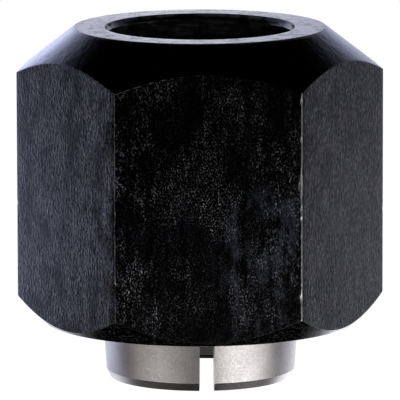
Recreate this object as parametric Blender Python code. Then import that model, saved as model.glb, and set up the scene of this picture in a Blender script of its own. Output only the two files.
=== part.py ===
"""Collet with its captive clamping nut, for holding a cutter shank in a motor spindle.

Units are metres and +Z is up, towards the side where the cutter goes in.
The origin is the centre of the collet's narrow end face, on which the part stands.
All pieces share the Z axis, and one wrench flat of the nut faces -Y.

The collet is a slotted steel sleeve with a long taper. The nut screws onto the
spindle nose, which passes between the sleeve and the nut's thread. A wire ring in
the nut catches the groove under the sleeve's head and draws it out of its taper.
"""

import math

import bmesh
import bpy
from mathutils import Matrix

MM = 0.001

# Running gap between pieces that touch or turn on each other
running_gap = 0.3 * MM

# Sleeve: its bore, wall, taper and saw cuts
tool_bore_diameter = 12.0 * MM
sleeve_end_wall = 1.1 * MM
taper_half_angle = math.radians(4.0)
end_face_inset = 0.3 * MM
end_bevel_height = 0.6 * MM
bore_entry_bevel = 0.3 * MM
sleeve_protrusion = 4.3 * MM
saw_cut_width = 1.1 * MM
saw_cuts_each_end = 3
uncut_skirt = 7.0 * MM
uncut_neck = 0.9 * MM
sleeve_turn = math.radians(1.0)

# Sleeve head: the collar above the ring groove and the cone that the nut presses
head_overhang = 0.29 * MM
head_collar_height = 0.9 * MM
groove_depth = 0.8 * MM
front_cone_half_angle = math.radians(30.0)
front_cone_step = 1.4 * MM
front_bore_bevel = 0.5 * MM

# Retaining ring of round wire, and how far the nut lifts before it catches the head
ring_wire_diameter = 1.0 * MM
ring_catch = 0.35 * MM
ring_opening = 2.5 * MM
nut_lift = 0.8 * MM

# Nut: a hexagon bar turned with a wide cone on top and a small bevel below
nut_height = 22.2 * MM
spindle_nose_wall = 1.69 * MM
nut_wall_at_flats = 2.0 * MM
hexagon_corner_radius = 0.12 * MM
front_opening_clearance = 0.77 * MM
mouth_bevel = 0.4 * MM
top_face_width = 2.28 * MM
top_cone_slope = math.radians(37.75)
bottom_bevel_inset = 0.23 * MM
bottom_bevel_slope = math.radians(43.0)
sleeve_recess = 2.95 * MM

# Nut inside: thread entry, thread relief and the shoulder under the ring groove
thread_entry_bevel = 0.6 * MM
thread_relief_depth = 0.25 * MM
thread_relief_height = 1.6 * MM
ring_shoulder = 1.0 * MM

# Facets of the round forms
facets_per_flat = 12
wire_facets = 10
corner_facets = 2

hexagon_sides = 6
facets = facets_per_flat * hexagon_sides
cutter_margin = 1.0 * MM
smooth_angle = math.radians(30.0)

# Sleeve sizes that follow
bore_radius = tool_bore_diameter / 2
sleeve_end_radius = bore_radius + sleeve_end_wall
nut_top = sleeve_protrusion + nut_height
sleeve_length = nut_top - sleeve_recess
cone_bottom = sleeve_length - front_cone_step / math.tan(front_cone_half_angle)
groove_top = cone_bottom - head_collar_height
groove_height = ring_wire_diameter + nut_lift + 2 * running_gap
groove_bottom = groove_top - groove_height
taper_top_radius = sleeve_end_radius + (groove_bottom - end_bevel_height) * math.tan(taper_half_angle)
head_radius = taper_top_radius + head_overhang
groove_radius = taper_top_radius - groove_depth

# Ring sizes that follow
ring_radius = head_radius - ring_catch + ring_wire_diameter / 2
ring_centre = groove_bottom + running_gap + ring_wire_diameter / 2

# Nut sizes that follow
thread_radius = taper_top_radius + spindle_nose_wall
flat_distance = thread_radius + nut_wall_at_flats
corner_distance = flat_distance / math.cos(math.pi / hexagon_sides)
opening_radius = bore_radius + front_opening_clearance
top_face_radius = opening_radius + mouth_bevel + top_face_width
bottom_face_radius = flat_distance - bottom_bevel_inset


def remove_everything():
    """Empty the scene, so that the script gives the same result each run."""
    for obj in list(bpy.data.objects):
        bpy.data.objects.remove(obj, do_unlink=True)


def steel(name, color, metallic, roughness):
    """A plain metal finish."""
    material = bpy.data.materials.new(name)
    material.use_nodes = True
    shader = material.node_tree.nodes["Principled BSDF"]
    shader.inputs["Base Color"].default_value = (*color, 1.0)
    shader.inputs["Metallic"].default_value = metallic
    shader.inputs["Roughness"].default_value = roughness
    return material


def add_object(name, bm, z=0.0):
    """Turn a bmesh into an object on the common axis at height z."""
    bmesh.ops.recalc_face_normals(bm, faces=bm.faces)
    mesh = bpy.data.meshes.new(name)
    bm.to_mesh(mesh)
    bm.free()
    mesh.shade_smooth()
    mesh.set_sharp_from_angle(angle=smooth_angle)
    obj = bpy.data.objects.new(name, mesh)
    obj.location.z = z
    bpy.context.scene.collection.objects.link(obj)
    return obj


def turned(section):
    """Revolve a closed section of (radius, height) points about the Z axis."""
    bm = bmesh.new()
    corners = [bm.verts.new((radius, 0.0, height)) for radius, height in section]
    edges = [bm.edges.new((a, b)) for a, b in zip(corners, corners[1:] + corners[:1])]
    bmesh.ops.spin(bm, geom=corners + edges, axis=(0, 0, 1), cent=(0, 0, 0),
                   angle=2 * math.pi, steps=facets, use_merge=True)
    return bm


def cut_with(obj, cutter, operation):
    """Keep a live Boolean on obj, with a cutter that shows only as a wire."""
    cutter.hide_render = True
    cutter.display_type = "WIRE"
    boolean = obj.modifiers.new(cutter.name, "BOOLEAN")
    boolean.operation = operation
    boolean.solver = "EXACT"
    boolean.object = cutter


def sleeve_section():
    """Half section of the sleeve, from its narrow end up the outside and back down the bore."""
    front_face_radius = head_radius - front_cone_step
    return [
        (bore_radius + bore_entry_bevel, 0.0),
        (sleeve_end_radius - end_face_inset, 0.0),
        (sleeve_end_radius, end_bevel_height),
        (taper_top_radius, groove_bottom),
        (groove_radius, groove_bottom),
        (groove_radius, groove_top),
        (head_radius, groove_top),
        (head_radius, cone_bottom),
        (front_face_radius, sleeve_length),
        (bore_radius + front_bore_bevel, sleeve_length),
        (bore_radius, sleeve_length - front_bore_bevel),
        (bore_radius, bore_entry_bevel),
    ]


def saw_cut(bm, angle, low, high):
    """Add one saw blade's path through the wall, from height low to high."""
    inner = bore_radius / 2
    outer = head_radius + cutter_margin
    place = (
        Matrix.Rotation(angle, 4, "Z")
        @ Matrix.Translation(((inner + outer) / 2, 0.0, (low + high) / 2))
        @ Matrix.Diagonal((outer - inner, saw_cut_width, high - low, 1.0))
    )
    bmesh.ops.create_cube(bm, size=1.0, matrix=place)


def build_collet():
    """The slotted sleeve: cuts from its narrow end and from its head take turns round it."""
    collet = add_object("collet", turned(sleeve_section()))
    cuts = bmesh.new()
    pitch = 2 * math.pi / saw_cuts_each_end
    front = -math.pi / 2
    for index in range(saw_cuts_each_end):
        angle = front + index * pitch
        saw_cut(cuts, angle, -cutter_margin, groove_bottom - uncut_neck)
        saw_cut(cuts, angle + pitch / 2, uncut_skirt, sleeve_length + cutter_margin)
    cutter = add_object("saw_cuts", cuts)
    cutter.parent = collet
    cut_with(collet, cutter, "DIFFERENCE")
    collet.rotation_euler.z = sleeve_turn
    collet.data.materials.append(steel("turned_steel", (0.52, 0.51, 0.50), 1.0, 0.30))
    return collet


def build_retaining_ring():
    """An open ring of round wire, with its opening at the back."""
    bm = bmesh.new()
    wire = bmesh.ops.create_circle(bm, cap_ends=True, segments=wire_facets,
                                   radius=ring_wire_diameter / 2,
                                   matrix=Matrix.Translation((ring_radius, 0.0, 0.0))
                                   @ Matrix.Rotation(math.pi / 2, 4, "X"))
    opening = ring_opening / ring_radius
    start = math.pi / 2 + opening / 2
    profile = wire["verts"] + list(bm.edges) + list(bm.faces)
    bmesh.ops.spin(bm, geom=profile, axis=(0, 0, 1), cent=(0, 0, 0),
                   angle=2 * math.pi - opening, steps=facets, use_duplicate=False)
    bmesh.ops.rotate(bm, verts=bm.verts, matrix=Matrix.Rotation(start, 3, "Z"))
    ring = add_object("retaining_ring", bm, ring_centre)
    ring.data.materials.append(steel("spring_steel", (0.30, 0.30, 0.31), 1.0, 0.35))
    return ring


def nut_section():
    """Half section of the turned nut, above its own bottom face, before its flats are cut."""
    blank_radius = corner_distance + cutter_margin
    cone_drop = (blank_radius - top_face_radius) * math.tan(top_cone_slope)
    bevel_rise = (blank_radius - bottom_face_radius) * math.tan(bottom_bevel_slope)
    groove_floor = ring_centre - ring_wire_diameter / 2 - running_gap - sleeve_protrusion
    groove_ceiling = groove_floor + ring_wire_diameter + 2 * running_gap
    groove_outer = ring_radius + ring_wire_diameter / 2 + running_gap
    land_radius = head_radius + running_gap
    relief_radius = thread_radius + thread_relief_depth
    thread_end = groove_floor - ring_shoulder
    seat_slope = math.tan(front_cone_half_angle)
    seat_gap = running_gap / math.cos(front_cone_half_angle)
    seat_bottom = cone_bottom - sleeve_protrusion + (seat_gap - running_gap) / seat_slope
    seat_top = seat_bottom + (land_radius - opening_radius) / seat_slope
    return [
        (bottom_face_radius, 0.0),
        (blank_radius, bevel_rise),
        (blank_radius, nut_height - cone_drop),
        (top_face_radius, nut_height),
        (opening_radius + mouth_bevel, nut_height),
        (opening_radius, nut_height - mouth_bevel),
        (opening_radius, seat_top),
        (land_radius, seat_bottom),
        (land_radius, groove_ceiling),
        (groove_outer, groove_ceiling),
        (groove_outer, groove_floor),
        (land_radius, groove_floor),
        (land_radius, thread_end),
        (relief_radius, thread_end),
        (relief_radius, thread_end - thread_relief_height),
        (thread_radius, thread_end - thread_relief_height - thread_relief_depth),
        (thread_radius, thread_entry_bevel),
        (thread_radius + thread_entry_bevel, 0.0),
    ]


def hexagon_bar():
    """The hexagon bar stock, with a flat towards -Y and its long corners rounded."""
    bm = bmesh.new()
    length = nut_height + 2 * cutter_margin
    bmesh.ops.create_cone(bm, cap_ends=True, segments=hexagon_sides, depth=length,
                          radius1=corner_distance, radius2=corner_distance,
                          matrix=Matrix.Translation((0.0, 0.0, nut_height / 2))
                          @ Matrix.Rotation(math.pi / 2, 4, "Z"))
    upright = [edge for edge in bm.edges if abs(edge.verts[0].co.z - edge.verts[1].co.z) > length / 2]
    bmesh.ops.bevel(bm, geom=upright, offset=hexagon_corner_radius, segments=corner_facets,
                    profile=0.5, affect="EDGES", offset_type="OFFSET")
    return bm


def build_clamping_nut():
    """The nut: a turned blank kept only where the hexagon bar is."""
    nut = add_object("clamping_nut", turned(nut_section()), sleeve_protrusion)
    bar = add_object("hexagon_bar", hexagon_bar())
    bar.parent = nut
    cut_with(nut, bar, "INTERSECT")
    nut.data.materials.append(steel("black_oxide_steel", (0.025, 0.025, 0.028), 0.6, 0.42))
    return nut


def main():
    remove_everything()
    build_collet()
    lift_axis = bpy.data.objects.new("nut_lift_axis", None)
    bpy.context.scene.collection.objects.link(lift_axis)
    build_retaining_ring().parent = lift_axis
    build_clamping_nut().parent = lift_axis


if __name__ == "__main__":
    main()
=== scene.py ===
"""Fine surfaces of a collet with its captive clamping nut, and the stage it stands on.

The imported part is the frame: each piece here takes the place of one of its nodes,
at the same size and in the same place, and rides on the same body.
"""

import math

import bpy
from bpy.props import FloatProperty, FloatVectorProperty, PointerProperty
from mathutils import Matrix, Vector


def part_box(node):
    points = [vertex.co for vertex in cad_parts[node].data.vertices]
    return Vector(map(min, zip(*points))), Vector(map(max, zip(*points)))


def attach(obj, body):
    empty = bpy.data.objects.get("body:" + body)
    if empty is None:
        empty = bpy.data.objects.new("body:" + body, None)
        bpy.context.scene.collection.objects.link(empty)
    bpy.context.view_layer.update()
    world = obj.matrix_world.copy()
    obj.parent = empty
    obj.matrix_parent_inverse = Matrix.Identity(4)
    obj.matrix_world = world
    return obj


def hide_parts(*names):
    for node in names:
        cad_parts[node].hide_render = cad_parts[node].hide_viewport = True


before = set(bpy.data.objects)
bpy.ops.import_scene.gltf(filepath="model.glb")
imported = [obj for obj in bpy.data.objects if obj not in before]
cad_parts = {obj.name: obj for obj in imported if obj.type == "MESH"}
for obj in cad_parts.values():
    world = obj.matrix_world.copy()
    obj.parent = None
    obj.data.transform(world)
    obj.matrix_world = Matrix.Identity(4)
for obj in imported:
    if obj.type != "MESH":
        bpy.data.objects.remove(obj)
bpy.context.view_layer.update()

bl_info = {
    "name": "Collet and clamping nut",
    "version": (1, 0, 0),
    "blender": (4, 5, 0),
    "location": "3D Viewport > Sidebar > Collet",
    "description": "Builds the finished surfaces of a collet, its clamping nut and ring, and a stage",
    "category": "Object",
}

MM = 0.001
HEXAGON_SIDES = 6
SAW_CUTS = 6
nut_low, nut_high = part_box("clamping_nut")
_, sleeve_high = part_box("collet")
ring_low, ring_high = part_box("retaining_ring")
nut_mouth = min(math.hypot(vertex.co.x, vertex.co.y)
                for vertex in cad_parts["clamping_nut"].data.vertices)

# How finely the nut is divided, and how far its columns crowd towards the long corners
FLAT_COLUMNS = 48
CORNER_COLUMNS = 6
CROWDING = 0.55
BEVEL_ROWS = 6
FLAT_ROWS = 96
CONE_ROWS = 16
TOP_ROWS = 8
BORE_ROWS = 4
EDGE_STEPS = 4

# The flat runs from this corner of the nut's section to the next
FLAT_CORNER = 1

# How finely the sleeve is divided: rows from each station to the next, columns in a sector and in a cut
SLEEVE_ROWS = (1, 12, 12, 2, 1, 2, 1, 1, 4)
SKIRT_STATION = 2
CUT_STATION = 3
SECTOR_COLUMNS = 26
CUT_COLUMNS = 3

# Walls of one cell of the sleeve: the neighbour that hides it, and its corners (column, row, inner side)
CELL_WALLS = (
    (None, ((0, 0, 0), (1, 0, 0), (1, 1, 0), (0, 1, 0))),
    (None, ((0, 1, 1), (1, 1, 1), (1, 0, 1), (0, 0, 1))),
    ((-1, 0), ((0, 0, 1), (0, 0, 0), (0, 1, 0), (0, 1, 1))),
    ((1, 0), ((1, 0, 0), (1, 0, 1), (1, 1, 1), (1, 1, 0))),
    ((0, -1), ((0, 0, 1), (1, 0, 1), (1, 0, 0), (0, 0, 0))),
    ((0, 1), ((0, 1, 0), (1, 1, 0), (1, 1, 1), (0, 1, 1))),
)

# Form of the thread's ridge, as shares of its pitch, and the share of its way over which an end fades
THREAD_ROOT = 0.88
THREAD_CREST = 0.16
THREAD_INSET = 1 / 3
THREAD_FADE = 0.05

# Edge wear: where bare steel starts to show, where all is bare, how far wear reaches, and its most
BARE_FROM = 0.93
BARE_AT = 1.02
WEAR_REACH = 0.8 * MM
LOWER_RIM_WEAR = 0.90
BEVEL_WEAR = 0.86
TOP_RIM_WEAR = 0.92
CHIP_WEAR = 1.1

# Wear of the arcs between cone and flats, which swings round the nut from its most worn bearing
ARC_WEAR = 0.92
ARC_WEAR_SWING = 0.05
ARC_WORN_AT = -120

# Wear of the six long corners, from the front right one on, counter-clockwise from above
CORNER_WEAR = (1.04, 0.93, 0.99, 0.98, 0.94, 0.985)

# Chips in the long corners: corner, side of it (-1 before, 1 after), height, length and width in millimetres
CHIPS = (
    (0, -1, 16.2, 3.20, 0.45), (0, -1, 14.5, 0.50, 0.22), (0, 1, 22.5, 0.70, 0.30),
    (0, -1, 19.6, 0.50, 0.20), (0, -1, 7.8, 0.90, 0.32), (0, -1, 13.7, 0.50, 0.20),
    (0, 1, 14.5, 0.40, 0.20), (5, 1, 20.8, 0.50, 0.10), (5, -1, 14.1, 0.70, 0.10),
    (5, 1, 9.0, 0.40, 0.08), (1, -1, 12.5, 0.50, 0.08), (2, 1, 16.0, 0.90, 0.14),
    (2, -1, 9.4, 0.50, 0.12), (3, -1, 19.0, 0.80, 0.15), (3, 1, 11.1, 0.60, 0.10),
    (4, 1, 13.3, 0.45, 0.08),
)
CHIP_OVERLAP = 0.06 * MM
CHIP_STEEPNESS = 2.5

# Noise in the finishes: size of its spots, stretch along each axis, detail, roughness
NOISE = {
    "grain": (0.18 * MM, (1.0, 1.0, 1.9), 2.0, 0.55),
    "speck": (0.10 * MM, (1.0, 1.0, 1.6), 4.0, 0.72),
    "clump": (0.34 * MM, (1.0, 1.0, 2.6), 2.0, 0.5),
    "patch": (2.4 * MM, (1.0, 1.0, 1.6), 5.0, 0.62),
    "drag": (0.45 * MM, (1.0, 1.0, 7.0), 3.0, 0.6),
    "calm": (1.5 * MM, (1.0, 1.0, 1.5), 4.0, 0.6),
    "haze": (1.3 * MM, (1.0, 1.0, 3.2), 4.0, 0.7),
    "ground": (0.20 * MM, (1.0, 1.0, 1.7), 2.0, 0.5),
    "brown": (1.7 * MM, (1.0, 1.0, 1.3), 4.0, 0.65),
    "ragged": (0.35 * MM, (1.0, 1.0, 2.0), 3.0, 0.6),
    "blotch": (1.0 * MM, (1.0, 1.0, 1.0), 4.0, 0.62),
    "pit": (0.20 * MM, (1.0, 1.0, 1.4), 2.0, 0.6),
    "rings": (0.25 * MM, (9.0, 9.0, 1.0), 3.0, 0.6),
    "drift": (6.0 * MM, (1.0, 1.0, 1.0), 2.0, 0.5),
    "mottle": (0.09 * MM, (1.0, 1.0, 2.0), 2.0, 0.6),
    "tone": (1.8 * MM, (1.0, 1.0, 0.7), 3.0, 0.55),
    "streak": (0.08 * MM, (4.0, 4.0, 1.0), 3.0, 0.6),
}
PATCH_SHIFT = (-21 * MM, 9 * MM, -14 * MM)

# The light tent: bearing from the front in degrees, level, how cool the light is. These levels, and those
# by height, were worked out from brightness measured in the photograph, and adjusted in rounds
NUT_BAND = (
    (-180, 1.35, 0.02), (-171, 1.0, 0.07), (-160, 2.05, 0.15), (-145, 1.55, 0.15), (-122, 1.65, 0.22),
    (-114, 1.0, 0.26), (-110, 0.18, 0.28), (-107, 0.03, 0.28), (-93, 0.02, 0.05), (0, 0.0, 0.0),
    (60, 0.08, 0.0), (66, 0.65, 0.0), (84, 0.65, 0.0), (90, 0.06, 0.0), (109, 0.05, 0.10),
    (116, 0.6, 0.11), (137, 0.45, 0.12), (146, 0.92, 0.13), (166, 0.92, 0.07), (180, 1.35, 0.02),
)
SLEEVE_BAND = (
    (-180, 1.25, 0.06), (-128, 0.65, 0.09), (-108, 0.26, 0.04), (-100, 0.17, 0.0), (-93, 0.2, -0.02),
    (-74, 0.7, -0.03), (-52, 0.85, -0.03), (-31, 0.53, -0.02), (-13, 0.3, 0.0), (-3, 0.14, 0.0),
    (9, 0.4, 0.0), (18, 1.3, -0.01), (28, 1.75, -0.01), (38, 2.0, 0.0), (55, 2.0, 0.0),
    (70, 1.45, 0.0), (90, 0.38, -0.01), (98, 0.28, 0.0), (106, 0.33, 0.02), (142, 1.4, 0.05),
    (180, 1.25, 0.06),
)

# How bright the tent is at each height: height in millimetres, level
TENT_HEIGHTS = (
    (-66, 0.0), (-47, 0.4), (-32, 1.85), (-24, 1.65), (-16, 1.0), (-9.5, 1.0), (-5, 1.35), (1, 1.4),
    (17, 0.85), (28, 0.85), (35, 1.1), (38, 0.8), (43, 0.75), (60, 0.2), (67, 0.04), (80, 0.0),
)


def length(name, description, default):
    """A length property in metres."""
    return FloatProperty(name=name, description=description, default=default,
                         subtype="DISTANCE", unit="LENGTH", precision=5)


def slope(name, description, degrees):
    """An angle property, given in degrees and kept in radians."""
    return FloatProperty(name=name, description=description, default=math.radians(degrees),
                         subtype="ANGLE", unit="ROTATION")


def share(name, description, default):
    """A plain number from nought to one."""
    return FloatProperty(name=name, description=description, default=default,
                         min=0.0, max=1.0, subtype="FACTOR")


def paint(name, description, default):
    """A colour property, in linear light."""
    return FloatVectorProperty(name=name, description=description, default=default,
                               size=3, min=0.0, max=1.0, subtype="COLOR")


class NutSettings(bpy.types.PropertyGroup):
    """Sizes and finish of the clamping nut."""

    top_cone_slope: slope("Top cone slope", "Fall of the cone from the horizontal", 37.75)
    bottom_bevel_slope: slope("Bottom bevel slope", "Rise of the lower bevel from the horizontal", 43.0)
    corner_rounding: length("Corner rounding", "Radius of the six long corners", 0.10 * MM)
    chip_depth: length("Chip depth", "How deep the chips in the long corners are", 0.07 * MM)
    edge_rounding: length("Edge rounding", "Radius of the turned edges", 0.12 * MM)
    thread_pitch: length("Thread pitch", "Rise of the thread in one turn", 1.5 * MM)
    thread_depth: length("Thread depth", "Height of the thread's ridge", 0.8 * MM)
    thread_overlap: length("Thread overlap", "How far the ridge's foot sits in the wall", 0.03 * MM)
    grain_depth: length("Grain depth", "Height of the milled flats' grain", 0.044 * MM)
    soft_width: length("Soft width", "How far from a long corner the flats start to bend", 1.1 * MM)
    soft_fall: length("Soft fall", "How far the flats fall back at a long corner", 0.02 * MM)
    bow: length("Bow", "How much further they fall back from the middle to a long corner", 0.035 * MM)
    # Painted sheen low on the nut, standing in for light thrown up from the floor
    painted_sheen: share("Low_painted_sheen", "Fine dust low on the nut", 0.015)
    oxide_color: paint("Oxide", "Colour of the black oxide", (0.0003, 0.0003, 0.0004))
    brown_color: paint("Brown", "Colour of the oxide where it has browned", (0.012, 0.007, 0.005))
    haze_color: paint("Haze", "Colour of the oxide where handling has rubbed it", (0.43, 0.46, 0.58))
    # Pale specks: rubbed oxide and painted glints on the milled flats, scuffs on the turned faces
    scuff_and_glint_color: paint("Fleck", "Colour of the rubbed specks in the oxide", (0.50, 0.495, 0.52))
    steel_color: paint("Bare steel", "Colour of the steel on worn edges", (0.46, 0.45, 0.44))


class SleeveSettings(bpy.types.PropertyGroup):
    """Sizes and finish of the slotted sleeve."""

    bore_radius: length("Bore radius", "Half the tool bore", 6.0 * MM)
    end_wall: length("End wall", "Wall above the bevel of the narrow end", 1.1 * MM)
    taper_half_angle: slope("Taper half angle", "Lean of the taper from the axis", 4.0)
    end_inset: length("End inset", "How far the end bevel goes in", 0.3 * MM)
    end_bevel: length("End bevel", "Height of the end bevel", 0.6 * MM)
    entry_bevel: length("Entry bevel", "Bevel of the bore at the narrow end", 0.3 * MM)
    front_bevel: length("Front bevel", "Bevel of the bore at the head", 0.5 * MM)
    saw_cut: length("Saw cut", "Width of each saw cut", 1.1 * MM)
    uncut_skirt: length("Uncut skirt", "Height at which the cuts from the head stop", 7.0 * MM)
    uncut_neck: length("Uncut neck", "Distance of the lower cuts from the ring groove", 0.9 * MM)
    head_collar: length("Head collar", "Height of the collar above the groove", 0.9 * MM)
    groove_height: length("Groove height", "Height of the ring groove", 2.4 * MM)
    groove_depth: length("Groove depth", "Depth of the ring groove", 0.8 * MM)
    cone_step: length("Cone step", "How far the front cone goes in", 1.4 * MM)
    cone_half_angle: slope("Cone half angle", "Lean of the front cone from the axis", 30.0)
    soft_edge: length("Soft edge", "Width of the bevel along the edges", 0.05 * MM)
    turn: slope("Turn", "Turn of the first cut from the front flat's middle", 1.0)
    steel_color: paint("Steel", "Colour of the turned steel", (0.53, 0.503, 0.501))


class RingSettings(bpy.types.PropertyGroup):
    """Size and finish of the retaining ring."""

    opening: length("Opening", "Gap between the ends of the ring", 2.5 * MM)
    wire_color: paint("Wire", "Colour of the drawn wire", (0.30, 0.30, 0.31))


class StageSettings(bpy.types.PropertyGroup):
    """Camera, floor and light."""

    azimuth: slope("Camera azimuth", "Turn of the camera round the part", -2.86)
    elevation: slope("Camera elevation", "Height of the camera above the horizon", 9.398)
    roll: slope("Camera roll", "Lean of the camera", -0.12)
    distance: length("Camera distance", "From the aim to the camera", 498.2 * MM)
    aim_height: length("Aim height", "Height of the point that the camera looks at", 13.31 * MM)
    aim_side: length("Aim side", "Sideways place of that point", -0.02 * MM)
    lens: FloatProperty(name="Lens", description="Focal length in millimetres", default=595.9)
    tent_radius: length("Tent radius", "Radius of the light tent round the part", 60.0 * MM)
    floor_radius: length("Floor radius", "Radius of the pale floor", 120.0 * MM)


def add_node(tree, kind, inputs=None, **settings):
    """Add one node, set its options, and give each named input a value or a socket."""
    node = tree.nodes.new(kind)
    for name, value in settings.items():
        setattr(node, name, value)
    for key, value in (inputs or {}).items():
        if isinstance(value, bpy.types.NodeSocket):
            tree.links.new(value, node.inputs[key])
        else:
            node.inputs[key].default_value = value
    return node


def calculate(tree, operation, *values):
    """A Math node's result."""
    return add_node(tree, "ShaderNodeMath", dict(enumerate(values)), operation=operation).outputs[0]


def between(tree, value, low, high, to_low=0.0, to_high=1.0):
    """Fit a value smoothly from one range to another."""
    inputs = {"Value": value, "From Min": low, "From Max": high, "To Min": to_low, "To Max": to_high}
    return add_node(tree, "ShaderNodeMapRange", inputs, interpolation_type="SMOOTHSTEP").outputs[0]


def blend(tree, factor, first, second):
    """Mix two colours, each a value or a socket, by a factor."""
    node = add_node(tree, "ShaderNodeMix", data_type="RGBA", clamp_factor=True)
    for socket, value in ((node.inputs[0], factor), (node.inputs[6], first), (node.inputs[7], second)):
        if isinstance(value, bpy.types.NodeSocket):
            tree.links.new(value, socket)
        else:
            socket.default_value = value
    return node.outputs[2]


def times(tree, *values):
    """The product of these values."""
    product = values[0]
    for value in values[1:]:
        product = calculate(tree, "MULTIPLY", product, value)
    return product


def weighted(tree, *parts):
    """The sum of these (value, weight) pairs."""
    total = 0.0
    for value, weight in parts:
        total = calculate(tree, "MULTIPLY_ADD", value, weight, total)
    return total


def fade(tree, factor, first, second):
    """Mix two numbers, each a value or a socket, by a factor."""
    return add_node(tree, "ShaderNodeMix", {0: factor, 2: first, 3: second}).outputs[0]


def opaque(color, level=1.0):
    """A colour at this level, with full alpha."""
    return (*(level * part for part in color), 1.0)


def cloud(tree, place, kind):
    """One of the kinds of noise, from nought to one."""
    size, stretch, detail, roughness = NOISE[kind]
    scale = tuple(1.0 / (size * part) for part in stretch)
    mapped = add_node(tree, "ShaderNodeMapping", {"Vector": place, "Scale": scale})
    inputs = {"Vector": mapped.outputs[0], "Scale": 1.0, "Detail": detail, "Roughness": roughness}
    return add_node(tree, "ShaderNodeTexNoise", inputs).outputs[0]


def attribute(tree, name):
    """A number kept on the mesh's points."""
    return add_node(tree, "ShaderNodeAttribute", attribute_name=name).outputs["Fac"]


def new_material(name):
    """A material with its tree, its shader and the object coordinates."""
    material = bpy.data.materials.new(name)
    material.use_nodes = True
    tree = material.node_tree
    place = add_node(tree, "ShaderNodeTexCoord").outputs["Object"]
    return material, tree, tree.nodes["Principled BSDF"], place


def axis_radius(tree, place):
    """Distance from the part's axis, and height."""
    across, deep, height = add_node(tree, "ShaderNodeSeparateXYZ", {0: place}).outputs
    square = weighted(tree, (across, across), (deep, deep))
    return calculate(tree, "SQRT", square), height


def lathe_lines(tree, place, spacing):
    """Noise that runs round the axis in fine lines, as a turning tool leaves it."""
    radius, height = axis_radius(tree, place)
    across = add_node(tree, "ShaderNodeCombineXYZ", {
        0: calculate(tree, "DIVIDE", radius, spacing),
        1: calculate(tree, "DIVIDE", height, spacing),
        2: times(tree, cloud(tree, place, "drift"), 3.0),
    })
    inputs = {"Vector": across.outputs[0], "Scale": 1.0, "Detail": 2.0, "Roughness": 0.6}
    return add_node(tree, "ShaderNodeTexNoise", inputs).outputs[0]


def worn_oxide(tree, shader, place, settings, oxide, roughness, relief):
    """Bring oxide, roughness and relief to the shader, with bare steel where the edge wear is high."""
    ragged = calculate(tree, "MULTIPLY_ADD", cloud(tree, place, "ragged"), 0.16, -0.08)
    worn = calculate(tree, "ADD", attribute(tree, "edge_wear"), ragged)
    bare = between(tree, worn, BARE_FROM, BARE_AT)
    bump = add_node(tree, "ShaderNodeBump", {"Height": relief, "Distance": settings.grain_depth})
    for name, value in (("Base Color", blend(tree, bare, oxide, opaque(settings.steel_color))),
                        ("Roughness", fade(tree, bare, roughness, 0.30)),
                        ("Metallic", bare),
                        ("Normal", bump.outputs[0])):
        tree.links.new(value, shader.inputs[name])


def rubbed_and_glint_flecks(tree, place, away, spot):
    """Pale specks of rubbed oxide and painted glints of the grain, in patches and upright drags."""
    worn = weighted(tree, (cloud(tree, away, "patch"), 0.72), (cloud(tree, away, "drag"), 0.28))
    rubbed = between(tree, worn, 0.43, 0.66, 0.05, 0.98)
    clump = between(tree, cloud(tree, place, "clump"), 0.36, 0.64, 0.4, 1.5)
    return times(tree, between(tree, spot, 0.52, 0.74), rubbed, clump)


def handling_haze(tree, away, spot, side, height):
    """A broken haze on the right half of the nut, from its middle down."""
    cloudy = between(tree, cloud(tree, away, "haze"), 0.46, 0.68, 0.0, 0.12)
    broken = between(tree, spot, 0.38, 0.66, 0.2, 1.0)
    right = between(tree, side, 0.0, 2.5 * MM, 0.10, 1.0)
    low = between(tree, height, 16.5 * MM, 14.5 * MM, 0.04, 1.0)
    return times(tree, cloudy, broken, right, low)


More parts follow.
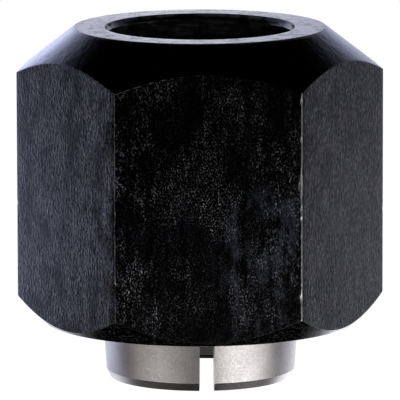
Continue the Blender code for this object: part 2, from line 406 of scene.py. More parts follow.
def milled_oxide(settings):
    """Black oxide on the milled flats: upright grain, rubbed specks with painted glints, haze, and browned
    patches.
    """
    material, tree, shader, place = new_material("black_oxide_milled")
    away = add_node(tree, "ShaderNodeMapping", {"Vector": place, "Location": PATCH_SHIFT}).outputs[0]
    side, depth, height = add_node(tree, "ShaderNodeSeparateXYZ", {0: place}).outputs
    spot = cloud(tree, place, "speck")
    calm = cloud(tree, place, "calm")
    front = between(tree, depth, nut_low.y + 0.6 * MM, nut_low.y + 0.2 * MM)
    beside = calculate(tree, "SUBTRACT", 1.0, front)
    faced = calculate(tree, "MULTIPLY_ADD", front, 0.5, 0.5)
    fewer_near_top = between(tree, height, nut_high.z - 4 * MM, nut_high.z - 13 * MM, 0.45, 1.0)
    foot = between(tree, height, nut_low.z + 0.9 * MM, nut_low.z + 2.4 * MM, 0.35, 1.0)
    # Painted glints and rubbed oxide: pale specks, fewer near the top and the foot
    flecks = times(tree, rubbed_and_glint_flecks(tree, place, away, spot), fewer_near_top, faced, foot)
    ground = times(tree, between(tree, cloud(tree, away, "ground"), 0.40, 0.72, 0.0, 0.12),
                   between(tree, calm, 0.36, 0.60, 0.7, 1.1))
    flecks = calculate(tree, "MULTIPLY_ADD", ground, beside, flecks)
    brown = times(tree, between(tree, cloud(tree, place, "brown"), 0.50, 0.66), beside)
    haze = times(tree, handling_haze(tree, away, spot, side, height), faced)
    oxide = blend(tree, brown, opaque(settings.oxide_color), opaque(settings.brown_color))
    oxide = blend(tree, haze, oxide, opaque(settings.haze_color))
    # The pale specks, partly painted glints, are mixed into the oxide colour
    oxide = blend(tree, flecks, oxide, opaque(settings.scuff_and_glint_color))
    roughness = between(tree, spot, 0.3, 0.7, 0.16, 0.26)
    grain = calculate(tree, "MULTIPLY_ADD", spot, 0.12, cloud(tree, place, "grain"))
    relief = times(tree, calculate(tree, "SUBTRACT", grain, 0.56),
                   between(tree, calm, 0.36, 0.60, 0.45, 1.15))
    worn_oxide(tree, shader, place, settings, oxide, roughness, relief)
    # Painted sheen: the Sheen Weight grows towards the bottom to stand in for light from the floor
    painted_sheen = between(tree, height, nut_high.z - 3 * MM, nut_low.z, 0.0, settings.painted_sheen)
    tree.links.new(painted_sheen, shader.inputs["Sheen Weight"])
    shader.inputs["Specular IOR Level"].default_value = 0.17
    return material


def mouth_masks(tree, reach, patchy):
    """Where the bore's wall is, and the patchy bevel of its mouth, whose pale scuffs fade deeper in as
    painted shade and leave a thin lip.
    """
    wall = between(tree, reach, nut_mouth + 0.005 * MM, nut_mouth + 0.02 * MM, 1.0, 0.0)
    within = between(tree, reach, nut_mouth + 0.3 * MM, nut_mouth + 0.4 * MM, 1.0, 0.0)
    # Painted shade: the mouth's pale scuffs fade deeper into the bore, leaving a thin lip
    lip = between(tree, reach, nut_mouth + 0.12 * MM, nut_mouth + 0.30 * MM, 0.15, 1.0)
    return wall, times(tree, calculate(tree, "SUBTRACT", within, wall), patchy, lip)


def turned_oxide(settings):
    """Black oxide on the turned faces: fine rings from the tool under a blotched film."""
    material, tree, shader, place = new_material("black_oxide_turned")
    lines = lathe_lines(tree, place, 0.07 * MM)
    blotch = cloud(tree, place, "blotch")
    pit = cloud(tree, place, "pit")
    rings = cloud(tree, place, "rings")
    reach, height = axis_radius(tree, place)
    top = between(tree, height, nut_high.z - 0.15 * MM, nut_high.z - 0.05 * MM)
    low = between(tree, height, nut_low.z + 3.4 * MM, nut_low.z + 2.6 * MM)
    patchy = between(tree, blotch, 0.42, 0.58, 0.25, 1.0)
    wall, mouth = mouth_masks(tree, reach, patchy)
    calmed = calculate(tree, "MULTIPLY_ADD", calculate(tree, "ADD", top, low), -0.5, 1.0)
    relief = times(tree, weighted(tree, (lines, 0.05), (pit, 0.34), (blotch, 0.9)), calmed)
    rubbed = weighted(tree, (lines, 0.4), (blotch, 0.6))
    inside = weighted(tree, (times(tree, wall, patchy), 0.03), (mouth, 0.06))
    scuffs = weighted(tree, (between(tree, rubbed, 0.42, 0.64, 0.0, 0.055), top),
                      (between(tree, rings, 0.35, 0.65, 0.2, 1.0), inside),
                      (between(tree, pit, 0.46, 0.70, 0.0, 0.07), low))
    oxide = blend(tree, scuffs, opaque(settings.oxide_color), opaque(settings.scuff_and_glint_color))
    film = weighted(tree, (blotch, 0.6), (pit, 0.4))
    dulled = calculate(tree, "MULTIPLY_ADD", top, 0.12, 0.14)
    roughness = fade(tree, mouth, between(tree, film, 0.42, 0.60, 0.05, dulled), 0.8)
    worn_oxide(tree, shader, place, settings, oxide, roughness, fade(tree, wall, relief, rings))
    shader.inputs["Specular IOR Level"].default_value = 0.5
    return material


def bare_metal(tree, shader, color, roughness, relief, depth):
    """Bring colour, roughness and relief to a shader that is metal all over."""
    bump = add_node(tree, "ShaderNodeBump", {"Height": relief, "Distance": depth, "Strength": 1.0})
    tree.links.new(color, shader.inputs["Base Color"])
    tree.links.new(roughness, shader.inputs["Roughness"])
    tree.links.new(bump.outputs[0], shader.inputs["Normal"])
    shader.inputs["Metallic"].default_value = 1.0


def turned_steel(settings):
    """Bright steel, turned and rubbed, with painted shade inside the bore."""
    material, tree, shader, place = new_material("turned_steel_finish")
    lines = lathe_lines(tree, place, 0.05 * MM)
    mottle = cloud(tree, place, "mottle")
    dull = calculate(tree, "ADD", between(tree, cloud(tree, place, "tone"), 0.35, 0.7, 0.0, 0.3),
                     between(tree, mottle, 0.3, 0.7, 0.0, 0.3))
    steel = blend(tree, dull, opaque(settings.steel_color), opaque(settings.steel_color, 0.6))
    # Painted shade: inside the bore the steel gets a darker copy of its colour
    reach, _ = axis_radius(tree, place)
    inside = between(tree, reach, settings.bore_radius + 0.02 * MM,
                     settings.bore_radius + 0.12 * MM, 1.0, 0.0)
    steel = blend(tree, inside, steel, opaque(settings.steel_color, 0.25))
    roughness = between(tree, mottle, 0.3, 0.7, 0.27, 0.37)
    relief = weighted(tree, (lines, 0.7), (mottle, 0.5))
    bare_metal(tree, shader, steel, roughness, relief, 0.006 * MM)
    return material


def spring_wire(settings):
    """Drawn wire, dull and slightly streaked."""
    material, tree, shader, place = new_material("spring_wire_finish")
    streak = cloud(tree, place, "streak")
    wire = blend(tree, between(tree, streak, 0.4, 0.7), opaque(settings.wire_color),
                 opaque(settings.wire_color, 0.5))
    roughness = between(tree, streak, 0.3, 0.7, 0.32, 0.45)
    bare_metal(tree, shader, wire, roughness, streak, 0.002 * MM)
    return material


def add_piece(name, points, faces, materials, face_materials=None, numbers=None):
    """A mesh piece at the origin, shaded smooth, with numbers kept on its points."""
    mesh = bpy.data.meshes.new(name)
    mesh.from_pydata(points, [], faces)
    for material in materials:
        mesh.materials.append(material)
    if face_materials:
        mesh.polygons.foreach_set("material_index", face_materials)
    for label, values in (numbers or {}).items():
        mesh.attributes.new(label, "FLOAT", "POINT").data.foreach_set("value", values)
    mesh.shade_smooth()
    piece = bpy.data.objects.new(name, mesh)
    bpy.context.scene.collection.objects.link(piece)
    return piece


def settle(piece, body, node):
    """Let a piece stand for a node of the frame and ride on its body."""
    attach(piece, body)
    if node:
        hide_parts(node)


def hexagon_columns(flat, settings):
    """Points round the hexagon, each with its nearest long corner and its way from it along the flat."""
    rounding = settings.corner_rounding
    columns = []
    half_turn = math.pi / HEXAGON_SIDES
    reach = rounding * math.tan(half_turn)
    fallen = flat - settings.soft_fall - settings.bow
    half_side = fallen * math.tan(half_turn) - reach
    for side in range(HEXAGON_SIDES):
        facing = -math.pi / 2 + side * 2 * half_turn
        outwards = Vector((math.cos(facing), math.sin(facing)))
        sideways = Vector((-outwards.y, outwards.x))
        for step in range(FLAT_COLUMNS + 1):
            even = 2 * step / FLAT_COLUMNS - 1
            crowded = -math.cos(math.pi * step / FLAT_COLUMNS)
            place = half_side * ((1 - CROWDING) * even + CROWDING * crowded)
            from_corner = half_side - abs(place)
            fall = settings.soft_fall * max(0.0, 1 - from_corner / settings.soft_width) ** 2
            fall += settings.bow * (1 - from_corner / half_side) ** 2
            corner = side if place > 0 else side - 1
            columns.append((outwards * (flat - fall) + sideways * place, corner % HEXAGON_SIDES,
                            math.copysign(from_corner + reach, -place)))
        centre = Vector((math.cos(facing + half_turn), math.sin(facing + half_turn)))
        centre *= (fallen - rounding) / math.cos(half_turn)
        for step in range(1, CORNER_COLUMNS):
            part = step / CORNER_COLUMNS
            angle = facing + 2 * half_turn * part
            columns.append((centre + rounding * Vector((math.cos(angle), math.sin(angle))), side,
                            reach * (2 * part - 1)))
    return columns


def chip_depth(corner, offset, height):
    """How deep a chip cuts here, from nought at its rim to one."""
    deepest = 0.0
    for at, side, level, tall, wide in CHIPS:
        if at == corner and offset * side > -CHIP_OVERLAP:
            rise = 1 - abs(height / MM - level) / (tall / 2)
            deepest = max(deepest, rise - abs(offset) / (wide * MM))
    return min(1.0, CHIP_STEEPNESS * deepest)


def bore_corners(node, flat):
    """Corners (radius, height) of a packed nut's bore, from its mouth down."""
    outer_skin = 0.1 * MM
    same_corner = 0.01 * MM
    rings = {}
    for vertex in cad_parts[node].data.vertices:
        radius = math.hypot(vertex.co.x, vertex.co.y)
        if radius < flat - outer_skin:
            ring = rings.setdefault(round(vertex.co.z, 6), [])
            if all(abs(radius - known) > same_corner for known in ring):
                ring.append(radius)
    corners = []
    for height in sorted(rings, reverse=True):
        radii = sorted(rings[height])
        if height in (max(rings), min(rings)):
            radii = radii[:1]
        elif corners:
            radii.sort(key=lambda radius: abs(radius - corners[-1][0]))
        corners.extend((radius, height) for radius in radii)
    return corners


def rounded(before, corner, after, radius, steps):
    """Points of a small rounding at a corner of a section, which takes less than half of each side."""
    longest = 0.45
    back, ahead = before - corner, after - corner
    turn = math.pi - back.angle(ahead)
    reach = min(radius * math.tan(turn / 2), longest * back.length, longest * ahead.length)
    start, end = corner + back.normalized() * reach, corner + ahead.normalized() * reach
    shares = [step / steps for step in range(steps + 1)]
    return [start * (1 - s) ** 2 + corner * (2 * s * (1 - s)) + end * s * s for s in shares]


def nut_section(radius_here, bearing, top_radius, bottom_radius, bore, settings):
    """The closed section of the nut at one column: radius, height, how worn that edge is, rows after it."""
    cone_fall = (radius_here - top_radius) * math.tan(settings.top_cone_slope)
    bevel_rise = (radius_here - bottom_radius) * math.tan(settings.bottom_bevel_slope)
    arc_wear = ARC_WEAR + ARC_WEAR_SWING * math.cos(2 * (bearing - math.radians(ARC_WORN_AT)))
    outside = [
        (bottom_radius, nut_low.z, LOWER_RIM_WEAR, BEVEL_ROWS),
        (radius_here, nut_low.z + bevel_rise, BEVEL_WEAR, FLAT_ROWS),
        (radius_here, nut_high.z - cone_fall, arc_wear, CONE_ROWS),
        (top_radius, nut_high.z, TOP_RIM_WEAR, TOP_ROWS),
    ]
    return outside + [(radius, height, 0.0, BORE_ROWS) for radius, height in bore]


def nut_rows(section, rounding):
    """Rows down one column of the nut: place, edge wear, whether on a flat."""
    corners = [Vector((radius, height)) for radius, height, _, _ in section]
    rows = []
    count = len(section)
    for index, (_, _, worn, spans) in enumerate(section):
        corner, following = corners[index], corners[(index + 1) % count]
        arc = rounded(corners[index - 1], corner, following, rounding, EDGE_STEPS)
        next_arc = rounded(corner, following, corners[(index + 2) % count], rounding, EDGE_STEPS)
        next_worn = section[(index + 1) % count][2]
        for step, point in enumerate(arc):
            side_from = index - 1 if step < EDGE_STEPS // 2 else index
            wear = worn - (point - corner).length / WEAR_REACH
            rows.append((point, wear, side_from == FLAT_CORNER))
        for step in range(1, spans):
            point = arc[-1].lerp(next_arc[0], step / spans)
            wear = max(worn - (point - corner).length / WEAR_REACH,
                       next_worn - (point - following).length / WEAR_REACH)
            rows.append((point, wear, index == FLAT_CORNER))
    return rows


def rim_radius(node, height):
    """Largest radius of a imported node's vertices at one height."""
    same_height = 0.001 * MM
    return max(math.hypot(vertex.co.x, vertex.co.y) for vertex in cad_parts[node].data.vertices
               if abs(vertex.co.z - height) < same_height)


def build_nut(settings):
    """The nut as columns round the hexagon, each with the same rows: bevel, flat, cone, top and bore."""
    flat = nut_high.y
    top_radius = rim_radius("clamping_nut", nut_high.z)
    bottom_radius = rim_radius("clamping_nut", nut_low.z)
    bore = bore_corners("clamping_nut", flat)
    columns = hexagon_columns(flat, settings)
    points, wear = [], []
    for outline, corner, offset in columns:
        bearing = math.atan2(outline.y, outline.x)
        section = nut_section(outline.length, bearing, top_radius, bottom_radius, bore, settings)
        rows = nut_rows(section, settings.edge_rounding)
        direction = outline.normalized()
        for place, worn, on_flat in rows:
            chip = chip_depth(corner, offset, place.y) if on_flat else 0.0
            spot = direction * (place.x - settings.chip_depth * chip)
            points.append((spot.x, spot.y, place.y))
            corner_wear = CORNER_WEAR[corner] - abs(offset) / WEAR_REACH if on_flat else 0.0
            wear.append(max(0.0, worn, corner_wear, CHIP_WEAR * chip))
    count, height = len(columns), len(rows)
    faces, kinds = [], []
    for column in range(count):
        beside = (column + 1) % count
        for row in range(height):
            above = (row + 1) % height
            faces.append((column * height + row, beside * height + row,
                          beside * height + above, column * height + above))
            kinds.append(0 if rows[row][2] and rows[above][2] else 1)
    return add_piece("clamping_nut_body", points, faces, (milled_oxide(settings), turned_oxide(settings)),
                     kinds, {"edge_wear": wear})


def sleeve_stations(settings):
    """Pairs of outer and inner section points, from the narrow end to the head.

    Inside, the two pairs at the groove's foot are staggered, so that no pair falls on another.
    """
    bore = settings.bore_radius
    end_radius = bore + settings.end_wall
    top = sleeve_high.z
    cone_bottom = top - settings.cone_step / math.tan(settings.cone_half_angle)
    groove_top = cone_bottom - settings.head_collar
    groove_bottom = groove_top - settings.groove_height
    cut_top = groove_bottom - settings.uncut_neck
    stagger = 0.2 * MM

    def taper(height):
        return end_radius + (height - settings.end_bevel) * math.tan(settings.taper_half_angle)

    taper_top = taper(groove_bottom)
    groove = taper_top - settings.groove_depth
    head = sleeve_high.x
    return [
        ((end_radius - settings.end_inset, 0.0), (bore + settings.entry_bevel, 0.0)),
        ((end_radius, settings.end_bevel), (bore, settings.entry_bevel)),
        ((taper(settings.uncut_skirt), settings.uncut_skirt), (bore, settings.uncut_skirt)),
        ((taper(cut_top), cut_top), (bore, cut_top)),
        ((taper_top, groove_bottom), (bore, groove_bottom)),
        ((groove, groove_bottom), (bore, groove_bottom + stagger)),
        ((groove, groove_top), (bore, groove_top - stagger)),
        ((head, groove_top), (bore, groove_top)),
        ((head, cone_bottom), (bore, top - settings.front_bevel)),
        ((head - settings.cone_step, top), (bore + settings.front_bevel, top)),
    ]


def sleeve_ladder(settings):
    """Pairs of outer and inner section points, with the rows between the stations."""
    stations = [(Vector(outer), Vector(inner)) for outer, inner in sleeve_stations(settings)]
    ladder = []
    for (outer_a, inner_a), (outer_b, inner_b), steps in zip(stations, stations[1:], SLEEVE_ROWS):
        for step in range(steps):
            part = step / steps
            ladder.append((outer_a.lerp(outer_b, part), inner_a.lerp(inner_b, part)))
    return ladder + stations[-1:]


def build_sleeve(settings):
    """The slotted sleeve: six wide sectors with a strip between each two, left out where a cut runs."""
    ladder = sleeve_ladder(settings)
    skirt_level = sum(SLEEVE_ROWS[:SKIRT_STATION])
    cut_level = sum(SLEEVE_ROWS[:CUT_STATION])
    last = len(ladder) - 1
    pitch = 2 * math.pi / SAW_CUTS
    first = -math.pi / 2 + settings.turn
    column_count = SAW_CUTS * (SECTOR_COLUMNS + CUT_COLUMNS)
    points, index_of = [], {}

    def point(column, level, side):
        key = (column % column_count, level, side)
        if key not in index_of:
            radius, height = ladder[level][side]
            cut, step = divmod(key[0], SECTOR_COLUMNS + CUT_COLUMNS)
            half = math.asin(settings.saw_cut / 2 / radius)
            if step <= CUT_COLUMNS:
                angle = first + cut * pitch + half * (2 * step / CUT_COLUMNS - 1)
            else:
                part = (step - CUT_COLUMNS) / SECTOR_COLUMNS
                angle = first + cut * pitch + half + part * (pitch - 2 * half)
            index_of[key] = len(points)
            points.append((radius * math.cos(angle), radius * math.sin(angle), height))
        return index_of[key]

    def solid(column, level):
        if not 0 <= level < last:
            return False
        cut, step = divmod(column % column_count, SECTOR_COLUMNS + CUT_COLUMNS)
        if step >= CUT_COLUMNS:
            return True
        return level >= cut_level if cut % 2 == 0 else level < skirt_level

    faces = []
    for column in range(column_count):
        for level in range(last):
            if not solid(column, level):
                continue
            for neighbour, corners in CELL_WALLS:
                if neighbour is None or not solid(column + neighbour[0], level + neighbour[1]):
                    faces.append([point(column + over, level + up, side) for over, up, side in corners])
    piece = add_piece("collet_sleeve", points, faces, [turned_steel(settings)])
    bevel = piece.modifiers.new("soft edges", "BEVEL")
    bevel.width = settings.soft_edge
    bevel.segments = 2
    bevel.limit_method = "ANGLE"
    bevel.angle_limit = math.radians(18.0)
    bevel.harden_normals = True
    return piece


def new_node_group(name, sizes):
    """A geometry tree with named lengths as its inputs."""
    tree = bpy.data.node_groups.new(name, "GeometryNodeTree")
    tree.interface.new_socket("Geometry", in_out="INPUT", socket_type="NodeSocketGeometry")
    for label in sizes:
        tree.interface.new_socket(label, in_out="INPUT", socket_type="NodeSocketFloat")
    tree.interface.new_socket("Geometry", in_out="OUTPUT", socket_type="NodeSocketGeometry")
    return tree, tree.nodes.new("NodeGroupInput"), tree.nodes.new("NodeGroupOutput")


def finish_group(tree, geometry, output, material):
    """End a tree with real geometry that carries its material."""
    smooth = add_node(tree, "GeometryNodeSetShadeSmooth", {"Geometry": geometry})
    real = add_node(tree, "GeometryNodeRealizeInstances", {"Geometry": smooth.outputs[0]})
    inputs = {"Geometry": real.outputs[0], "Material": material}
    finished = add_node(tree, "GeometryNodeSetMaterial", inputs)
    tree.links.new(finished.outputs[0], output.inputs[0])


def grown(name, tree, sizes):
    """Run a geometry tree with these sizes and keep its result as a plain mesh piece."""
    seed = bpy.data.objects.new(name + "_seed", bpy.data.meshes.new(name + "_seed"))
    bpy.context.scene.collection.objects.link(seed)
    modifier = seed.modifiers.new("grow", "NODES")
    modifier.node_group = tree
    for item in tree.interface.items_tree:
        if item.item_type == "SOCKET" and item.in_out == "INPUT" and item.name in sizes:
            modifier[item.identifier] = sizes[item.name]
    evaluated = seed.evaluated_get(bpy.context.evaluated_depsgraph_get())
    mesh = bpy.data.meshes.new_from_object(evaluated)
    bpy.data.objects.remove(seed)
    mesh.name = name
    piece = bpy.data.objects.new(name, mesh)
    bpy.context.scene.collection.objects.link(piece)
    return piece


def thread_tree(material):
    """A ridge of thread form that winds up a bore and fades at both ends."""
    sizes = ("Radius", "Turns", "Rise", "Depth", "Root width", "Crest width", "Start")
    tree, source, output = new_node_group("thread_ridge", sizes)
    value = source.outputs
    spiral = add_node(tree, "GeometryNodeCurveSpiral", {
        "Resolution": 96, "Rotations": value["Turns"], "Start Radius": value["Radius"],
        "End Radius": value["Radius"], "Height": value["Rise"], "Reverse": True})
    along = add_node(tree, "GeometryNodeSplineParameter").outputs["Factor"]
    run_in = add_node(tree, "ShaderNodeMapRange", {
        "Value": along, "From Max": THREAD_FADE, "To Min": THREAD_FADE})
    run_out = add_node(tree, "ShaderNodeMapRange", {
        "Value": along, "From Min": 1.0 - THREAD_FADE, "From Max": 1.0,
        "To Min": 1.0, "To Max": THREAD_FADE})
    upright = add_node(tree, "GeometryNodeSetCurveNormal", {"Curve": spiral.outputs[0]}, mode="Z_UP")
    profile = add_node(tree, "GeometryNodeCurvePrimitiveQuadrilateral", {
        "Bottom Width": value["Root width"], "Top Width": value["Crest width"],
        "Height": value["Depth"], "Offset": 0.0}, mode="TRAPEZOID")
    inwards = add_node(tree, "ShaderNodeCombineXYZ", {0: times(tree, value["Depth"], -0.5)})
    turned = add_node(tree, "GeometryNodeTransform", {
        "Geometry": profile.outputs[0], "Translation": inwards.outputs[0],
        "Rotation": (0.0, 0.0, math.pi / 2)})
    ridge = add_node(tree, "GeometryNodeCurveToMesh", {
        "Curve": upright.outputs[0], "Profile Curve": turned.outputs[0],
        "Scale": times(tree, run_in.outputs[0], run_out.outputs[0]), "Fill Caps": True})
    finish_group(tree, lifted(tree, ridge, value["Start"]), output, material)
    return tree


def lifted(tree, node, height):
    """A node's geometry, moved up."""
    lift = add_node(tree, "ShaderNodeCombineXYZ", {2: height})
    inputs = {"Geometry": node.outputs[0], "Translation": lift.outputs[0]}
    return add_node(tree, "GeometryNodeTransform", inputs).outputs[0]


def ring_tree(material):
    """Round wire along an open circle."""
    sizes = ("Radius", "Wire radius", "Start angle", "Sweep", "Height")
    tree, source, output = new_node_group("ring_wire", sizes)
    value = source.outputs
    arc = add_node(tree, "GeometryNodeCurveArc", {
        "Resolution": 180, "Radius": value["Radius"], "Start Angle": value["Start angle"],
        "Sweep Angle": value["Sweep"]}, mode="RADIUS")
    wire = add_node(tree, "GeometryNodeCurvePrimitiveCircle", {
        "Resolution": 24, "Radius": value["Wire radius"]})
    swept = add_node(tree, "GeometryNodeCurveToMesh", {
        "Curve": arc.outputs[0], "Profile Curve": wire.outputs[0], "Fill Caps": True})
    finish_group(tree, lifted(tree, swept, value["Height"]), output, material)
    return tree


class COLLET_OT_clamping_nut(bpy.types.Operator):
    """Build the black hexagon nut with its cones, soft edges and bore"""

    bl_idname = "collet.clamping_nut"
    bl_label = "Clamping nut"

    def execute(self, context):
        piece = build_nut(context.scene.collet_nut)
        settle(piece, "nut", "clamping_nut")
        return {"FINISHED"}


class COLLET_OT_nut_thread(bpy.types.Operator):
    """Wind the thread's ridge up the nut's bore"""

    bl_idname = "collet.nut_thread"
    bl_label = "Nut thread"

    def execute(self, context):
        settings = context.scene.collet_nut
        *_, (_, thread_top), (thread_radius, thread_bottom), _ = bore_corners("clamping_nut", nut_high.y)
        material = bpy.data.materials["black_oxide_turned"]
        inset = settings.thread_pitch * THREAD_INSET
        rise = thread_top - thread_bottom - 2 * inset
        sizes = {
            "Radius": thread_radius + settings.thread_overlap,
            "Turns": rise / settings.thread_pitch,
            "Rise": rise,
            "Depth": settings.thread_depth + settings.thread_overlap,
            "Root width": settings.thread_pitch * THREAD_ROOT,
            "Crest width": settings.thread_pitch * THREAD_CREST,
            "Start": thread_bottom + inset,
        }
        piece = grown("nut_thread", thread_tree(material), sizes)
        settle(piece, "nut", None)
        return {"FINISHED"}


class COLLET_OT_sleeve(bpy.types.Operator):
    """Build the slotted steel sleeve"""

    bl_idname = "collet.sleeve"
    bl_label = "Sleeve"

    def execute(self, context):
        piece = build_sleeve(context.scene.collet_sleeve)
        settle(piece, "sleeve", "collet")
        return {"FINISHED"}


class COLLET_OT_retaining_ring(bpy.types.Operator):
    """Bend the open wire ring that keeps the sleeve in the nut"""

    bl_idname = "collet.retaining_ring"
    bl_label = "Retaining ring"

    def execute(self, context):
        settings = context.scene.collet_ring
        wire_radius = (ring_high.z - ring_low.z) / 2
        radius = ring_high.x - wire_radius
        opening = settings.opening / radius
        sizes = {
            "Radius": radius,
            "Wire radius": wire_radius,
            "Start angle": math.pi / 2 + opening / 2,
            "Sweep": 2 * math.pi - opening,
            "Height": (ring_high.z + ring_low.z) / 2,
        }
        piece = grown("ring_wire", ring_tree(spring_wire(settings)), sizes)
        settle(piece, "ring", "retaining_ring")
        return {"FINISHED"}


def studio_world():
    """A white room, dimmer where it only lights the part."""
    world = bpy.data.worlds.new("studio")
    bpy.context.scene.world = world
    world.use_nodes = True
    world.cycles.sampling_method = "NONE"
    tree = world.node_tree
    tree.nodes.clear()
    path = add_node(tree, "ShaderNodeLightPath").outputs
    plain = add_node(tree, "ShaderNodeBackground", {0: (0.95, 0.96, 1.0, 1.0), 1: 0.45})
    white = add_node(tree, "ShaderNodeBackground", {0: (1.0, 1.0, 1.0, 1.0), 1: 1.0})
    seen = calculate(tree, "MAXIMUM", path["Is Glossy Ray"],
                     calculate(tree, "MAXIMUM", path["Is Camera Ray"], path["Is Transmission Ray"]))
    room = add_node(tree, "ShaderNodeMixShader", {0: seen, 1: plain.outputs[0], 2: white.outputs[0]})
    add_node(tree, "ShaderNodeOutputWorld", {0: room.outputs[0]})


def tint(level, coolness):
    """A light of one level, made a little cool or warm."""
    return (level * (1 - coolness), level * (1 - 0.7 * coolness), level * (1 + coolness), 1.0)


def light_ramp(tree, value, stops):
    """A colour ramp through these (position, colour) stops."""
    ramp = add_node(tree, "ShaderNodeValToRGB", {0: value})
    elements = ramp.color_ramp.elements
    while len(elements) < len(stops):
        elements.new(0.5)
    for element, (position, color) in zip(elements, stops):
        element.position = position
        element.color = color
    return ramp.outputs[0]


def circle(radius, steps, height):
    """Points round the axis at one height."""
    angles = [2 * math.pi * step / steps for step in range(steps)]
    return [(radius * math.cos(angle), radius * math.sin(angle), height) for angle in angles]


def light_tent(settings):
    """A closed round tent that only shiny surfaces see, bright and dark by bearing and by height."""
    material, tree, shader, place = new_material("light_tent")
    material.cycles.emission_sampling = "NONE"
    tree.nodes.remove(shader)
    across, deep, height = add_node(tree, "ShaderNodeSeparateXYZ", {0: place}).outputs
    bearing = calculate(tree, "ARCTAN2", across, times(tree, deep, -1.0))
    around = calculate(tree, "MULTIPLY_ADD", bearing, 0.5 / math.pi, 0.5)
    bands = []
    for band in (SLEEVE_BAND, NUT_BAND):
        stops = [(degrees / 360 + 0.5, tint(level, coolness)) for degrees, level, coolness in band]
        bands.append(light_ramp(tree, around, stops))
    both = blend(tree, between(tree, height, -9.5 * MM, -5.5 * MM), *bands)
    low, high = TENT_HEIGHTS[0][0] * MM, TENT_HEIGHTS[-1][0] * MM
    upwards = calculate(tree, "DIVIDE", calculate(tree, "SUBTRACT", height, low), high - low)
    stops = [((at * MM - low) / (high - low), opaque((level, level, level))) for at, level in TENT_HEIGHTS]
    strength = light_ramp(tree, upwards, stops)
    cool = blend(tree, between(tree, height, 12 * MM, 34 * MM), opaque((1.0, 1.0, 1.0)),
                 opaque((0.92, 0.95, 1.07)))
    tinted = add_node(tree, "ShaderNodeVectorMath", {0: both, 1: cool}, operation="MULTIPLY")
    glow = add_node(tree, "ShaderNodeEmission", {0: tinted.outputs[0], 1: strength})
    tree.links.new(glow.outputs[0], tree.nodes["Material Output"].inputs["Surface"])
    steps = 180
    points = circle(settings.tent_radius, steps, 1.2 * low) + circle(settings.tent_radius, steps, high)
    faces = [(step, (step + 1) % steps, steps + (step + 1) % steps, steps + step) for step in range(steps)]
    faces += [range(steps), range(steps, 2 * steps)]
    tent = add_piece("light_tent", points, faces, [material])
    for ray in ("camera", "diffuse", "transmission", "volume_scatter", "shadow"):
        setattr(tent, "visible_" + ray, False)


def pale_floor(radius):
    """A pale round floor that keeps a soft shadow and fades out before its rim."""
    material, tree, shader, place = new_material("pale_floor")
    material.cycles.emission_sampling = "NONE"
    tree.nodes.remove(shader)
    reach, _ = axis_radius(tree, place)
    path = add_node(tree, "ShaderNodeLightPath").outputs
    diffuse = add_node(tree, "ShaderNodeBsdfDiffuse", {0: (0.86, 0.86, 0.87, 1.0)})
    glow = add_node(tree, "ShaderNodeEmission", {0: (1.0, 1.0, 1.0, 1.0), 1: 1.14})
    clear = add_node(tree, "ShaderNodeBsdfTransparent")
    seen = add_node(tree, "ShaderNodeMixShader", {
        0: times(tree, path["Is Camera Ray"], 0.88), 1: diffuse.outputs[0], 2: glow.outputs[0]})
    behind = add_node(tree, "ShaderNodeNewGeometry").outputs["Backfacing"]
    gone = calculate(tree, "MAXIMUM", between(tree, reach, radius * 0.35, radius * 0.95), behind)
    surface = add_node(tree, "ShaderNodeMixShader", {0: gone, 1: seen.outputs[0], 2: clear.outputs[0]})
    tree.links.new(surface.outputs[0], tree.nodes["Material Output"].inputs["Surface"])
    steps = 96
    level = -0.004 * MM
    points = [(0.0, 0.0, level)] + circle(radius, steps, level)
    faces = [(0, 1 + step, 1 + (step + 1) % steps) for step in range(steps)]
    floor = add_piece("floor", points, faces, [material])
    floor.visible_glossy = False


def towards(bearing, elevation):
    """The way from the part to a bearing from its front and an elevation."""
    level = math.cos(elevation)
    return Vector((math.sin(bearing) * level, -math.cos(bearing) * level, math.sin(elevation)))


def softbox(name, bearing, elevation, distance, width, height, radiance, color):
    """A soft square lamp at a bearing from the front, in degrees, turned to the part."""
    lamp = bpy.data.lights.new(name, "AREA")
    lamp.shape = "RECTANGLE"
    lamp.size, lamp.size_y = width, height
    lamp.energy = radiance * math.pi * width * height
    lamp.color = color
    away = towards(math.radians(bearing), math.radians(elevation))
    holder = bpy.data.objects.new(name, lamp)
    holder.location = Vector((0.0, 0.0, nut_high.z / 2)) + away * distance
    holder.rotation_euler = away.to_track_quat("Z", "Y").to_euler()
    holder.visible_camera = False
    holder.visible_glossy = False
    bpy.context.scene.collection.objects.link(holder)


def photo_camera(settings):
    """The camera, at the photograph's angle."""
    camera = bpy.data.objects.new("camera", bpy.data.cameras.new("camera"))
    camera.data.lens = settings.lens
    camera.data.sensor_width = 36.0
    camera.data.clip_start = 0.01
    back = towards(settings.azimuth, settings.elevation)
    aim = Vector((settings.aim_side, 0.0, settings.aim_height))
    turn = back.to_track_quat("Z", "Y").to_matrix().to_4x4() @ Matrix.Rotation(settings.roll, 4, "Z")
    camera.matrix_world = Matrix.Translation(aim + back * settings.distance) @ turn
    bpy.context.scene.collection.objects.link(camera)
    bpy.context.scene.camera = camera


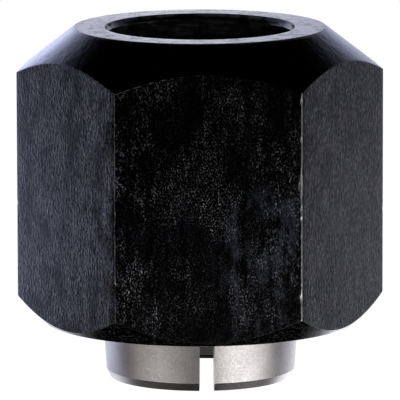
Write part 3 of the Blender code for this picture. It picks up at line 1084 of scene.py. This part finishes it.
class COLLET_OT_stage(bpy.types.Operator):
    """Set the floor, the lamps, the white room and the camera"""

    bl_idname = "collet.stage"
    bl_label = "Stage"

    def execute(self, context):
        settings = context.scene.collet_stage
        context.scene.view_settings.view_transform = "Standard"
        pale_floor(settings.floor_radius)
        studio_world()
        light_tent(settings)
        softbox("right_softbox", bearing=48, elevation=24, distance=0.35, width=0.30, height=0.22,
                radiance=1.4, color=(1.0, 0.99, 0.97))
        softbox("left_softbox", bearing=-58, elevation=22, distance=0.35, width=0.24, height=0.22,
                radiance=0.45, color=(0.97, 0.98, 1.0))
        photo_camera(settings)
        return {"FINISHED"}


class COLLET_PT_sidebar(bpy.types.Panel):
    """Buttons for each piece, and the sizes and colours behind them"""

    bl_idname = "COLLET_PT_sidebar"
    bl_label = "Collet"
    bl_space_type = "VIEW_3D"
    bl_region_type = "UI"
    bl_category = "Collet"

    def draw(self, context):
        for operator in OPERATORS:
            self.layout.operator(operator.bl_idname)
        for label in SETTINGS:
            group = getattr(context.scene, label)
            box = self.layout.box()
            for name in group.bl_rna.properties.keys():
                if name not in ("rna_type", "name"):
                    box.prop(group, name)


OPERATORS = (COLLET_OT_clamping_nut, COLLET_OT_nut_thread, COLLET_OT_sleeve, COLLET_OT_retaining_ring,
             COLLET_OT_stage)
SETTINGS = {
    "collet_nut": NutSettings,
    "collet_sleeve": SleeveSettings,
    "collet_ring": RingSettings,
    "collet_stage": StageSettings,
}


def register():
    """Make the settings, the operators and the panel known to Blender."""
    for label, group in SETTINGS.items():
        bpy.utils.register_class(group)
        setattr(bpy.types.Scene, label, PointerProperty(type=group))
    for operator in OPERATORS:
        bpy.utils.register_class(operator)
    bpy.utils.register_class(COLLET_PT_sidebar)


def unregister():
    """Take them away again."""
    bpy.utils.unregister_class(COLLET_PT_sidebar)
    for operator in reversed(OPERATORS):
        bpy.utils.unregister_class(operator)
    for label, group in reversed(SETTINGS.items()):
        delattr(bpy.types.Scene, label)
        bpy.utils.unregister_class(group)


def main():
    """Build the pieces and the stage."""
    register()
    bpy.ops.collet.clamping_nut()
    bpy.ops.collet.nut_thread()
    bpy.ops.collet.sleeve()
    bpy.ops.collet.retaining_ring()
    bpy.ops.collet.stage()


if __name__ == "__main__":
    main()
